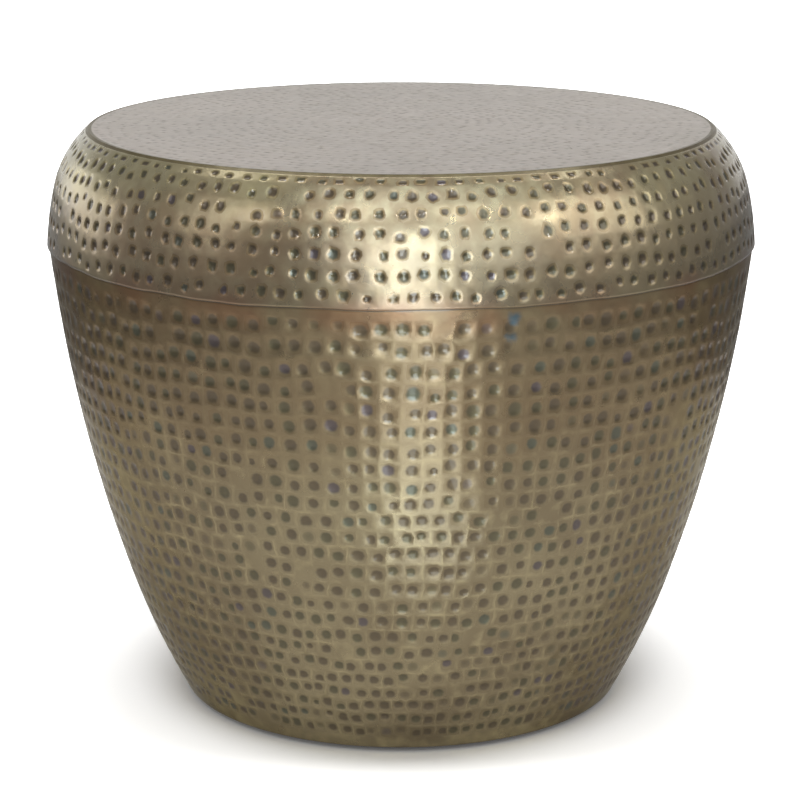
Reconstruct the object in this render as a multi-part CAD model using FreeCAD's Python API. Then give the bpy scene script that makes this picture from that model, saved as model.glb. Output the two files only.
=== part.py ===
import FreeCAD, Part
import math
import os
from dataclasses import dataclass, replace

# Drum side table: a hollow drum of hand-hammered brass sheet that tapers to its foot.
# Millimetres, +Z up. The origin is on the floor, on the drum's axis, and -Y is the front.
# Hammer marks are surface texture and aren't part of the solids.

# ---- Driving dimensions: the drum ----------------------------------------------------------------
overall_height = 410.0       # floor to the flat top
top_diameter = 438.5         # crisp edge of the flat top
seam_diameter = 500.0        # widest line, at the shoulder's lower edge
seam_height = 329.0          # floor to the shoulder's lower edge
foot_diameter = 316.0        # body wall where it reaches the foot's level
foot_clearance = 3.0         # floor to the foot edge

foot_lean = 28.9             # body wall at the foot, degrees outward from vertical
foot_arc_radius = 539.0      # lower, rounder arc of the body
body_arc_radius = 1090.0     # upper, flatter arc of the body
skirt_lean = -2.5            # shoulder's lower edge, degrees outward from vertical
skirt_arc_radius = 212.0     # shoulder just above the seam
roll_arc_radius = 73.0       # shoulder where it rolls over to the top

shell_gauge = 1.2            # hammered sheet of body and shoulder
panel_gauge = 1.5            # hammered sheet of the top
flange_width = 19.0          # shoulder's turned-in flange, from the top's edge to its mouth
band_height = 80.0           # a taller arc of the body's wall is drawn as several even bands

# ---- Driving dimensions: seams and foot ----------------------------------------------------------
lap_length = 16.0            # height of the body's lip inside the shoulder
lap_clearance = 0.2          # film between lip and shoulder
braze_leg = 3.0              # height of the filler fillet in the lap
panel_braze_leg = 3.0        # width of the filler fillet under the top
braze_clearance = 0.1        # filler to the curved wall beside it
hoop_gauge = 3.0             # flat bar of the hoop inside the foot
hoop_wall_clearance = 0.2    # film between hoop and body
hoop_tab_clearance = 2.0     # hoop's top up to the tabs

# ---- Driving dimensions: bars under the top ------------------------------------------------------
bearer_depth = 25.0
bearer_thickness = 4.0
bearer_wall_clearance = 1.0  # bar ends to the shoulder's inside
bearer_braze_clearance = 1.0
halving_clearance = 0.1      # on each side of the halved joint

# ---- Driving dimensions: base --------------------------------------------------------------------
board_thickness = 12.0
board_recess = 6.0           # foot edge up to the board's underside
board_edge_clearance = 1.3   # board to the mouth of the foot
board_chamfer = 1.0

tab_count = 4
tab_width = 24.0
tab_gauge = 2.0
tab_rise = 24.0              # height of the leg that follows the wall
tab_reach = 24.0             # how far the flat leg reaches over the board
tab_wall_clearance = 0.3
tab_corner_cut = 3.0         # corners of the flat leg
first_tab_angle = 45.0       # degrees from +X

base_screw_diameter = 5.0
base_screw_inset = 13.0      # board's edge to the screw's axis
base_screw_spare = 1.5       # thread past the nut
base_screw_head_width = 8.0  # across the flats of its hexagon
base_screw_head_height = 3.5
base_screw_hole_clearance = 0.25
thread_clearance = 0.05      # screw to the thread that it turns in
washer_diameter = 10.0
washer_thickness = 1.0
nut_width = 10.0
nut_thickness = 4.0
nut_chamfer = 0.6

glide_count = 4
glide_top_diameter = 26.0
glide_foot_diameter = 22.0
glide_inset = 22.0           # board's edge to the glide's axis
first_glide_angle = 0.0      # degrees from +X
glide_screw_diameter = 3.6
glide_screw_head_diameter = 7.2
glide_screw_head_height = 2.4
glide_screw_grip = 9.0       # length in the board
glide_screw_sink = 1.5       # floor to the screw's head
glide_screw_clearance = 0.2
recess_width = 1.2           # arms of the cross recess in a glide screw's head
recess_length = 4.6
recess_depth = 1.4

# ---- Levels that follow from them ----------------------------------------------------------------
panel_underside = overall_height - panel_gauge
flange_underside = panel_underside - shell_gauge
lap_top = seam_height + lap_length
mouth_radius = top_diameter / 2 - flange_width
foot_flange_top = foot_clearance + shell_gauge
board_underside = foot_clearance + board_recess
board_top = board_underside + board_thickness
tab_top = board_top + tab_gauge
tab_crown = board_top + tab_rise
hoop_top = board_top - hoop_tab_clearance
glide_screw_neck = glide_screw_sink + glide_screw_head_height
glide_screw_tip = board_underside + glide_screw_grip
glide_screw_flare = (glide_screw_head_diameter - glide_screw_diameter) / 2 / glide_screw_head_height

axis_foot = FreeCAD.Vector(0, 0, 0)
axis_up = FreeCAD.Vector(0, 0, 1)


# ---- Section geometry: all outlines lie in the XZ plane, with x as the radius ----------------------
def at(radius, height):
    """A point of a section, from its distance to the axis and its height."""
    return FreeCAD.Vector(radius, 0, height)


def line(start, end):
    """A straight edge of a section."""
    return Part.LineSegment(start, end).toShape()


def crossings(centre_a, radius_a, centre_b, radius_b):
    """The two points where two circles of the section plane cross."""
    between = centre_b - centre_a
    distance = between.Length
    along = (radius_a ** 2 - radius_b ** 2 + distance ** 2) / (2 * distance)
    aside = math.sqrt(max(radius_a ** 2 - along ** 2, 0.0))
    forward = between / distance
    across = FreeCAD.Vector(-forward.z, 0, forward.x)
    middle = centre_a + forward * along
    return [middle + across * aside, middle - across * aside]


@dataclass(frozen=True)
class Wall:
    """A stretch of wall in section: an arc that bulges outward, between two heights."""

    centre: FreeCAD.Vector
    radius: float
    low: float
    high: float

    def point(self, height):
        """The arc's point at a height."""
        rise = height - self.centre.z
        return at(self.centre.x + math.sqrt(self.radius ** 2 - rise ** 2), height)

    def height_inside(self, height, distance):
        """The height that a point of the arc has once it is moved inward, square to the arc."""
        return height + (self.centre.z - height) * distance / self.radius

    def inside(self, distance):
        """The same stretch, moved inward by a distance."""
        low = self.height_inside(self.low, distance)
        high = self.height_inside(self.high, distance)
        return replace(self, radius=self.radius - distance, low=low, high=high)

    def edge(self):
        """The arc as an edge, from its low end to its high end."""
        middle = (self.low + self.high) / 2
        return Part.Arc(self.point(self.low), self.point(middle), self.point(self.high)).toShape()

    def bands(self):
        """The arc as edges of even height, none taller than a band."""
        count = math.ceil((self.high - self.low) / band_height)
        step = (self.high - self.low) / count
        lows = [self.low + step * index for index in range(count)]
        return [replace(self, low=low, high=low + step).edge() for low in lows]


def two_walls(start, lean, first_radius, second_radius, end):
    """Two tangent arcs from start up to end. The first leaves start at lean degrees from vertical."""
    slope = math.radians(lean)
    first = start + FreeCAD.Vector(-math.cos(slope), 0, math.sin(slope)) * first_radius
    apart = first_radius - second_radius
    pairs = []
    for second in crossings(first, abs(apart), end, second_radius):
        pairs.append((first + (second - first) * (first_radius / apart), second))
    middle = (start + end) / 2
    joint, second = min(pairs, key=lambda pair: middle.distanceToPoint(pair[0]))
    return [Wall(first, first_radius, start.z, joint.z), Wall(second, second_radius, joint.z, end.z)]


def wall_at(walls, height):
    """The point at a height of walls that stand on each other."""
    for wall in walls:
        if height <= wall.high:
            break
    return wall.point(height)


def between_levels(walls, low, high):
    """The part of some walls that lies between two heights."""
    kept = [wall for wall in walls if wall.high > low and wall.low < high]
    kept[0] = replace(kept[0], low=low)
    kept[-1] = replace(kept[-1], high=high)
    return kept


def section(edges):
    """A flat face from edges that meet end to end."""
    return Part.Face(Part.Wire(Part.sortEdges(edges)[0]))


def polygon(points):
    """A flat face from its corners."""
    return Part.Face(Part.makePolygon(points + [points[0]]))


def hexagon(width, level):
    """A level hexagon about the axis, from its width across flats."""
    corner = FreeCAD.Vector(width / math.sqrt(3), 0, level)
    turn = FreeCAD.Rotation(axis_up, 60)
    corners = [corner]
    while len(corners) < 6:
        corners.append(turn.multVec(corners[-1]))
    return polygon(corners)


def turned(face):
    """A section turned all the way round the axis."""
    return face.revolve(axis_foot, axis_up, 360)


def placed(shape, x=0.0, y=0.0, z=0.0, turn=0.0):
    """A copy of a shape, turned about the axis by degrees and then moved."""
    copy = shape.copy()
    copy.rotate(axis_foot, axis_up, turn)
    copy.translate(FreeCAD.Vector(x, y, z))
    return copy


def around(shape, count, radius, first_angle):
    """Copies of a shape on a circle, each turned to face the axis."""
    copies = []
    for index in range(count):
        angle = first_angle + 360 * index / count
        x = radius * math.cos(math.radians(angle))
        y = radius * math.sin(math.radians(angle))
        copies.append(placed(shape, x, y, 0.0, angle))
    return copies


def rod(diameter, low, high):
    """A cylinder on the axis between two heights."""
    return Part.makeCylinder(diameter / 2, high - low, at(0, low))


# ---- The drum's walls ------------------------------------------------------------------------------
shoulder_outside = two_walls(
    at(seam_diameter / 2, seam_height),
    skirt_lean,
    skirt_arc_radius,
    roll_arc_radius,
    at(top_diameter / 2, overall_height),
)
shoulder_inside = [wall.inside(shell_gauge) for wall in shoulder_outside]

lip_outside = replace(shoulder_outside[0].inside(shell_gauge + lap_clearance), low=seam_height, high=lap_top)
lip_inside = lip_outside.inside(shell_gauge)

body_outside = two_walls(
    at(foot_diameter / 2, foot_clearance),
    foot_lean,
    foot_arc_radius,
    body_arc_radius,
    lip_outside.point(seam_height),
)
body_inside = [wall.inside(shell_gauge) for wall in body_outside]

# The hoop stands on the flange that the body turns in under it, and the two end flush at the mouth.
hoop_outside = body_inside[0].inside(hoop_wall_clearance)
hoop_inside = hoop_outside.inside(hoop_gauge)
foot_mouth_radius = hoop_inside.point(foot_flange_top).x
board_radius = foot_mouth_radius - board_edge_clearance


# ---- Shells ----------------------------------------------------------------------------------------
def make_body_shell():
    """Tapered drum wall, with a lip bent upright for the lap and a flange turned in at the foot."""
    upper = body_inside[-1]
    bends = crossings(upper.centre, upper.radius, lip_inside.centre, lip_inside.radius)
    bend = min(bends, key=upper.point(upper.high).distanceToPoint)
    outside = between_levels(body_outside, foot_clearance, seam_height) + [lip_outside]
    inside = between_levels(body_inside, foot_flange_top, bend.z)
    inside += between_levels([lip_inside], bend.z, lap_top)
    edges = [edge for wall in outside + inside for edge in wall.bands()]
    edges.append(line(lip_outside.point(lap_top), lip_inside.point(lap_top)))
    edges.append(line(outside[0].point(foot_clearance), at(foot_mouth_radius, foot_clearance)))
    edges.append(line(at(foot_mouth_radius, foot_clearance), at(foot_mouth_radius, foot_flange_top)))
    edges.append(line(at(foot_mouth_radius, foot_flange_top), inside[0].point(foot_flange_top)))
    return turned(section(edges))


def make_shoulder_shell():
    """Shoulder that rolls in from the seam, with a flat flange turned in under the top."""
    outside = between_levels(shoulder_outside, seam_height, panel_underside)
    inside = between_levels(shoulder_inside, seam_height, flange_underside)
    edges = [edge for wall in outside + inside for edge in wall.bands()]
    edges.append(line(outside[0].point(seam_height), inside[0].point(seam_height)))
    edges.append(line(outside[-1].point(panel_underside), at(mouth_radius, panel_underside)))
    edges.append(line(at(mouth_radius, panel_underside), at(mouth_radius, flange_underside)))
    edges.append(line(at(mouth_radius, flange_underside), inside[-1].point(flange_underside)))
    return turned(section(edges))


def make_top_panel():
    """Flat top, its edge dressed back to the shoulder's slope."""
    lower_edge = wall_at(shoulder_outside, panel_underside)
    return Part.makeCone(lower_edge.x, top_diameter / 2, panel_gauge, at(0, panel_underside))


def make_foot_hoop():
    """Flat bar bent to a hoop inside the foot, leaning with the wall."""
    corners = [
        hoop_outside.point(foot_flange_top),
        hoop_outside.point(hoop_top),
        hoop_inside.point(hoop_top),
        hoop_inside.point(foot_flange_top),
    ]
    return turned(polygon(corners))


def make_lap_braze():
    """Fillet of filler on top of the body's lip, against the shoulder's inside."""
    wall = shoulder_inside[0].inside(braze_clearance)
    foot = wall.point(lap_top)
    crown = wall.point(lap_top + braze_leg)
    return turned(polygon([at(lip_inside.point(lap_top).x, lap_top), foot, crown]))


def make_panel_braze():
    """Fillet of filler between the flange's mouth and the top's underside."""
    outer = mouth_radius - braze_clearance
    toe = at(outer - panel_braze_leg, panel_underside)
    return turned(polygon([at(outer, panel_underside), toe, at(outer, flange_underside)]))


# ---- Bars under the top ----------------------------------------------------------------------------
def make_bearer(slot_low, slot_high):
    """Flat bar on edge along X, notched under the flange and slotted for the other bar."""
    low = panel_underside - bearer_depth
    notch = mouth_radius - panel_braze_leg - bearer_braze_clearance
    high_end = wall_at(shoulder_inside, flange_underside).x - bearer_wall_clearance
    low_end = wall_at(shoulder_inside, low).x - bearer_wall_clearance
    half = [
        at(low_end, low),
        at(high_end, flange_underside),
        at(notch, flange_underside),
        at(notch, panel_underside),
    ]
    corners = half + [at(-corner.x, corner.z) for corner in reversed(half)]
    bar = polygon(corners).extrude(FreeCAD.Vector(0, bearer_thickness, 0))
    bar.translate(FreeCAD.Vector(0, -bearer_thickness / 2, 0))
    slot_width = bearer_thickness + 2 * halving_clearance
    slot_corner = FreeCAD.Vector(-slot_width / 2, -bearer_thickness, slot_low)
    return bar.cut(Part.makeBox(slot_width, 2 * bearer_thickness, slot_high - slot_low, slot_corner))


def make_bearers():
    """The two bars, halved over each other at the middle."""
    half_level = panel_underside - bearer_depth / 2
    long_bar = make_bearer(half_level - halving_clearance, panel_underside + halving_clearance)
    cross_bar = make_bearer(half_level - bearer_depth, half_level + halving_clearance)
    return long_bar, placed(cross_bar, turn=90)


# ---- Base ------------------------------------------------------------------------------------------
def base_screw_places(shape):
    """Copies of a shape at the base screws."""
    return around(shape, tab_count, board_radius - base_screw_inset, first_tab_angle)


def glide_places(shape):
    """Copies of a shape at the glides."""
    return around(shape, glide_count, board_radius - glide_inset, first_glide_angle)


def make_base_board():
    """Round board in the foot, bored for the screws of the tabs and the glides."""
    board = rod(2 * board_radius, board_underside, board_top)
    lower = [edge for edge in board.Edges if edge.BoundBox.ZMax < board_top]
    board = board.makeChamfer(board_chamfer, lower)
    through = rod(base_screw_diameter + 2 * base_screw_hole_clearance, board_underside, board_top)
    pilot = rod(glide_screw_diameter + 2 * thread_clearance, board_underside, glide_screw_tip)
    return board.cut(base_screw_places(through) + glide_places(pilot))


def make_base_tabs():
    """Angle tabs: one leg lies on the board, and the other leans with the wall."""
    face = body_inside[0].inside(tab_wall_clearance)
    back = face.inside(tab_gauge)
    tip = board_radius - tab_reach
    corners = [
        at(tip, board_top),
        face.point(board_top),
        face.point(tab_crown),
        back.point(tab_crown),
        back.point(tab_top),
        at(tip, tab_top),
    ]
    half_angle = math.degrees(math.asin(tab_width / 2 / board_radius))
    profile = polygon(corners)
    profile.rotate(axis_foot, axis_up, -half_angle)
    tab = profile.revolve(axis_foot, axis_up, 2 * half_angle)
    tip_corners = [edge for edge in tab.Edges if is_tip_corner(edge, tip)]
    tab = tab.makeChamfer(tab_corner_cut, tip_corners)
    hole = rod(base_screw_diameter + 2 * thread_clearance, board_top, tab_top)
    tab = tab.cut(placed(hole, x=board_radius - base_screw_inset))
    return around(tab, tab_count, 0.0, first_tab_angle)


def is_tip_corner(edge, tip):
    """Whether an edge of a tab is one of the two upright ones at its tip."""
    foot, crown = edge.Vertexes[0].Point, edge.Vertexes[-1].Point
    upright = abs(abs(crown.z - foot.z) - tab_gauge) < 1e-3
    return upright and math.hypot(foot.x, foot.y) < tip + tab_gauge


def make_tab_nuts():
    """Square weld nuts on the tabs."""
    corner = FreeCAD.Vector(-nut_width / 2, -nut_width / 2, tab_top)
    nut = Part.makeBox(nut_width, nut_width, nut_thickness, corner)
    upper = [edge for edge in nut.Edges if edge.BoundBox.ZMin > tab_top]
    nut = nut.makeChamfer(nut_chamfer, upper)
    nut = nut.cut(rod(base_screw_diameter + 2 * thread_clearance, tab_top, tab_top + nut_thickness))
    return base_screw_places(nut)


def make_base_screws():
    """Hexagon-head machine screws up through the board, the tabs and their nuts."""
    seat = board_underside - washer_thickness
    head = hexagon(base_screw_head_width, seat - base_screw_head_height)
    head = head.extrude(axis_up * base_screw_head_height)
    shank = rod(base_screw_diameter, seat, tab_top + nut_thickness + base_screw_spare)
    return base_screw_places(head.fuse(shank))


def make_base_washers():
    """Flat washers between the screws' heads and the board."""
    seat = board_underside - washer_thickness
    washer = rod(washer_diameter, seat, board_underside)
    hole = rod(base_screw_diameter + 2 * base_screw_hole_clearance, seat, board_underside)
    return base_screw_places(washer.cut(hole))


def make_glides():
    """Moulded glides under the board, with a countersunk hole for the screw."""
    body = Part.makeCone(glide_foot_diameter / 2, glide_top_diameter / 2, board_underside)
    hole_radius = glide_screw_diameter / 2 + glide_screw_clearance
    sink_radius = hole_radius + glide_screw_flare * glide_screw_neck
    sink = Part.makeCone(sink_radius, hole_radius, glide_screw_neck)
    hole = rod(2 * hole_radius, glide_screw_neck, board_underside)
    return glide_places(body.cut([sink, hole]))


def make_cross_recess(level):
    """The cross-shaped recess that opens downward at a head's face."""
    corner = FreeCAD.Vector(-recess_length / 2, -recess_width / 2, level)
    arm = Part.makeBox(recess_length, recess_width, recess_depth, corner)
    return arm.fuse(placed(arm, turn=90))


def make_glide_screws():
    """Countersunk wood screws up through the glides into the board."""
    head_radius = glide_screw_head_diameter / 2
    face = at(0, glide_screw_sink)
    head = Part.makeCone(head_radius, glide_screw_diameter / 2, glide_screw_head_height, face)
    shank = rod(glide_screw_diameter, glide_screw_neck, glide_screw_tip)
    screw = head.fuse(shank).cut(make_cross_recess(glide_screw_sink))
    return glide_places(screw)


# ---- Write one file for each named piece -----------------------------------------------------------
def main():
    """Build every piece and write it under its own name."""
    os.makedirs("parts", exist_ok=True)
    long_bearer, cross_bearer = make_bearers()
    pieces = {
        "top_panel": make_top_panel(),
        "shoulder_shell": make_shoulder_shell(),
        "body_shell": make_body_shell(),
        "foot_hoop": make_foot_hoop(),
        "lap_braze": make_lap_braze(),
        "panel_braze": make_panel_braze(),
        "top_bearer_long": long_bearer,
        "top_bearer_cross": cross_bearer,
        "base_board": make_base_board(),
        "tab_nuts": Part.makeCompound(make_tab_nuts()),
        "base_screws": Part.makeCompound(make_base_screws()),
        "base_washers": Part.makeCompound(make_base_washers()),
        "glide_screws": Part.makeCompound(make_glide_screws()),
    }
    for index, tab in enumerate(make_base_tabs(), start=1):
        pieces[f"base_tab_{index}"] = tab
    for index, glide in enumerate(make_glides(), start=1):
        pieces[f"glide_{index}"] = glide
    for name, shape in pieces.items():
        shape.exportStep(os.path.join("parts", f"{name}.step"))
        print(name, len(shape.Solids), "solid(s)", round(shape.Volume / 1000, 2), "cm3", shape.isValid())


main()
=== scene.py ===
"""Looks of a hand-hammered brass drum side table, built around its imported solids.

Metres, +Z up, origin on the floor at the drum's axis, -Y is the front.
"""

import logging
import math
import random
from abc import ABC, abstractmethod
from dataclasses import dataclass
from enum import Enum

import bmesh
import bpy
from bmesh.types import BMEdge, BMesh, BMFace, BMVert
from bpy.types import Collection, Material, Node, NodeSocket, NodeTree, Object
from mathutils import Matrix, Vector, noise
from mathutils.bvhtree import BVHTree


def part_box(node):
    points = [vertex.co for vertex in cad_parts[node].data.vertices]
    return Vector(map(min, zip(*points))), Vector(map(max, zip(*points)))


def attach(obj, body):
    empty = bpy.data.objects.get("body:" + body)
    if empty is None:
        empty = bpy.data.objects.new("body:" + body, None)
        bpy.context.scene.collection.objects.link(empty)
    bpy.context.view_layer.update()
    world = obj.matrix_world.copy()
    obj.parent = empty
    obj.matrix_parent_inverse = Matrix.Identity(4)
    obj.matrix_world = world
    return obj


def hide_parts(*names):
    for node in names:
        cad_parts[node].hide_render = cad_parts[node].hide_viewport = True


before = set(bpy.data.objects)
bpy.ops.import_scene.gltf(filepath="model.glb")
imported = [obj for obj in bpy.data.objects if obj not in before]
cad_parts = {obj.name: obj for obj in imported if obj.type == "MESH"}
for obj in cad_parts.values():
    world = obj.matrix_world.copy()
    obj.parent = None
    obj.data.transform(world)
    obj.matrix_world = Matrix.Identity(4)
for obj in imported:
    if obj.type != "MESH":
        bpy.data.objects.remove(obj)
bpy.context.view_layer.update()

log = logging.getLogger("drum_table")

MM = 0.001
HAIR = 0.01 * MM        # corners this near are one, and a ray keeps this clear of a corner
END_GAP = 0.05 * MM     # rays along the inside of a wall keep this clear of its ends
FULL_TURN = 2 * math.pi
HAMMERED = "hammered"   # attribute: 0 on the sheet's own surface, 1 at the bottom of a full mark; painted shade at the seam and the foot sets it too
MARK_HUE = "mark_hue"   # attribute: one random share for each mark
SEAM_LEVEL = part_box("shoulder_shell")[0].z


# ---- Helpers -----------------------------------------------------------------------------------------
def linear(colour: str) -> tuple[float, float, float, float]:
    """Turn an sRGB hex colour to linear.

    Args:
        colour: Six hex digits after a number sign.

    Returns:
        Red, green, blue and an alpha of 1.
    """
    shares = [int(colour[start:start + 2], 16) / 255 for start in (1, 3, 5)]
    red, green, blue = (s / 12.92 if s <= 0.04045 else ((s + 0.055) / 1.055) ** 2.4 for s in shares)
    return red, green, blue, 1.0


def add(tree: NodeTree, kind: str, inputs: dict | None = None, stops: list | None = None, **settings) -> Node:
    """Add a node with its settings and links.

    Args:
        tree: The node tree that gets it.
        kind: The node's type name, after the word ShaderNode.
        inputs: Socket name or number to a constant, or to the socket that it is linked from.
        stops: Position and hex colour of each stop, for a colour ramp.
        **settings: The node's own properties.

    Returns:
        The new node.
    """
    node = tree.nodes.new("ShaderNode" + kind)
    for name, value in settings.items():
        setattr(node, name, value)
    for name, value in (inputs or {}).items():
        if isinstance(value, NodeSocket):
            tree.links.new(value, node.inputs[name])
        else:
            node.inputs[name].default_value = value
    if stops:
        elements = node.color_ramp.elements
        while len(elements) < len(stops):
            elements.new(1.0)
        for element, (position, colour) in zip(elements, stops):
            element.position = position
            element.color = linear(colour)
    return node


def blend_share(value: float, low: float, high: float) -> float:
    """How far a value lies between two others, eased at both ends."""
    share = min(max((value - low) / (high - low), 0.0), 1.0)
    return share * share * (3 - 2 * share)


def hold(name: str, data: bpy.types.ID) -> Object:
    """An object in the scene for a mesh, a lamp or a camera."""
    holder = bpy.data.objects.new(name, data)
    bpy.context.scene.collection.objects.link(holder)
    return holder


def start_shell() -> BMesh:
    """An empty bmesh whose corners can keep how hard and by which blow they were struck."""
    bm = bmesh.new()
    for name in (HAMMERED, MARK_HUE):
        bm.verts.layers.float.new(name)
    return bm


def keep_mesh(bm: BMesh, name: str, materials: list[Material], sharp: float = 30.0) -> Object:
    """Turn a bmesh into an object with smooth faces and sharp corners.

    Args:
        bm: The finished bmesh, which is freed.
        name: The object's name.
        materials: Its materials, in the order of its faces' numbers.
        sharp: Edges that turn by more than this many degrees stay sharp.

    Returns:
        The new object.
    """
    bmesh.ops.recalc_face_normals(bm, faces=bm.faces[:])
    for face in bm.faces:
        face.smooth = True
    for edge in bm.edges:
        edge.smooth = len(edge.link_faces) == 2 and edge.calc_face_angle(0.0) < math.radians(sharp)
    mesh = bpy.data.meshes.new(name)
    bm.to_mesh(mesh)
    bm.free()
    for material in materials:
        mesh.materials.append(material)
    return hold(name, mesh)


# ---- Sheets that are hammered ------------------------------------------------------------------------
@dataclass(frozen=True)
class Seam:
    """The lap of the shoulder over the body, whose edge was cut and beaten down by hand."""

    level: float                     # height of the edge, on average
    wave: float = 1.8 * MM           # how far the edge wanders up and down
    beaten: float = 0.5 * MM         # how far the edge is driven in towards the body
    sway: float = 3.1                # how often the edge wanders in one radius of the way round
    bites: float = 14.0              # the same for the bites of the shears
    bite: float = 0.35               # height of these, as a share of wave
    cut: float = 0.4                 # where the noise is cut, which picks one edge of many

    def rise(self, angle: float) -> float:
        """How far the edge lies above its level at a polar angle."""
        place = Vector((math.cos(angle), math.sin(angle), self.cut))
        return self.wave * (noise.noise(place * self.sway) + self.bite * noise.noise(place * self.bites))


class Section:
    """The upright section of a CAD node, which is read with level rays."""

    def __init__(self, node: str) -> None:
        """Prepare the node for rays."""
        self.tree = BVHTree.FromObject(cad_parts[node], bpy.context.evaluated_depsgraph_get())

    def outside(self, height: float) -> float:
        """Radius of the outer face at a height."""
        return self.meet(1.0, -1, height)

    def inside(self, height: float) -> float:
        """Radius of the inner face at a height."""
        return self.meet(0.0, 1, height)

    def meet(self, start: float, way: int, height: float) -> float:
        """Distance from the axis to where a ray along X meets the node."""
        hit = self.tree.ray_cast(Vector((start, 0.1 * MM, height)), Vector((way, 0, 0)))[0]
        return math.hypot(hit.x, hit.y)


class Sheet(ABC):
    """A turned surface with a place for each polar angle and each step along its outline."""

    swell: float = 0.22 * MM         # how far the whole sheet heaves in and out
    swell_size: float = 42 * MM      # how far apart the heaves are

    @abstractmethod
    def along(self, place: Vector) -> float:
        """How far along the outline a place is, as a height or a radius."""

    @abstractmethod
    def radius(self, along: float) -> float:
        """Distance to the axis at a step along the outline."""

    @abstractmethod
    def rate(self, along: float) -> float:
        """Change of the outline's own measure for each metre of surface."""

    @abstractmethod
    def even_place(self, angle: float, along: float, sink: float) -> Vector:
        """A point that lies a given depth below the surface as it was drawn."""

    @abstractmethod
    def free(self, along: float) -> float:
        """Share of its freedom that the surface has: none at its ends, which are fitted to other pieces."""

    def place(self, angle: float, along: float, sink: float) -> Vector:
        """A point that lies a given depth below the surface as it came out under the hammer."""
        even = self.even_place(angle, along, sink)
        heave = self.swell * self.free(along) * (1 + noise.noise(even / self.swell_size))
        return self.even_place(angle, along, sink + heave)


class WallSheet(Sheet):
    """A drum wall: its outline is read from a CAD node and measured by height."""

    reach: float = 6 * MM            # the slope is taken over this far up and down
    end_zone: float = 20 * MM        # the wall is free to heave this far from its ends

    def __init__(self, node: str, low: float, high: float, samples: int = 240) -> None:
        """Read the outline.

        Args:
            node: The CAD node whose outside is followed.
            low: Lowest height that is needed.
            high: Highest height that is needed.
            samples: How many heights are read.
        """
        self.section = Section(node)
        self.low = low
        self.high = high
        self.step = (high - low) / (samples - 1)
        self.radii = [self.section.outside(low + self.step * index) for index in range(samples)]

    def along(self, place: Vector) -> float:
        """The place's height."""
        return place.z

    def radius(self, along: float) -> float:
        """Distance to the axis at a height."""
        share = min(max((along - self.low) / self.step, 0.0), len(self.radii) - 1.001)
        index = int(share)
        return self.radii[index] + (share - index) * (self.radii[index + 1] - self.radii[index])

    def slope(self, along: float) -> float:
        """Change of radius for each metre of height."""
        low = max(along - self.reach, self.low)
        high = min(along + self.reach, self.high)
        return (self.radius(high) - self.radius(low)) / (high - low)

    def rate(self, along: float) -> float:
        """Height gained for each metre of surface."""
        return 1 / math.hypot(1, self.slope(along))

    def free(self, along: float) -> float:
        """None at the wall's ends, all of it away from them."""
        return blend_share(min(along - self.low, self.high - along), 0.0, self.end_zone)

    def even_place(self, angle: float, along: float, sink: float) -> Vector:
        """A point that lies a given depth below the wall as it was drawn."""
        slope = self.slope(along)
        share = sink / math.hypot(1, slope)
        radius = self.radius(along) - share
        return Vector((radius * math.cos(angle), radius * math.sin(angle), along + share * slope))


class DiscSheet(Sheet):
    """A level disc, measured by radius, which lies flatter than a wall."""

    swell = 0.06 * MM

    def __init__(self, level: float) -> None:
        """Keep the disc's height."""
        self.level = level

    def along(self, place: Vector) -> float:
        """The place's distance to the axis."""
        return math.hypot(place.x, place.y)

    def radius(self, along: float) -> float:
        """The measure is the radius itself."""
        return along

    def rate(self, along: float) -> float:
        """The measure grows as the surface does."""
        return 1.0

    def free(self, along: float) -> float:
        """The same all over, as the disc's edge is dressed once it is in place."""
        return 1.0

    def even_place(self, angle: float, along: float, sink: float) -> Vector:
        """A point that lies a given depth below the disc as it was drawn."""
        return Vector((along * math.cos(angle), along * math.sin(angle), self.level - sink))


# ---- Hammering ---------------------------------------------------------------------------------------
Spoke = tuple[float, float]    # a corner of a mark's mouth: its bearing and its reach from the middle
START_INSET = 0.3 * MM         # any width does, as the new ring's corners are then moved into place
OFF_SHEET = 0.7 * MM           # what lies further than this from a sheet belongs to another face


class Blow(Enum):
    """How a blow lands. The value is its share of a full mark's depth."""

    FULL = 1.0
    GLANCING = 0.7
    MISSED = 0.04


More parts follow.
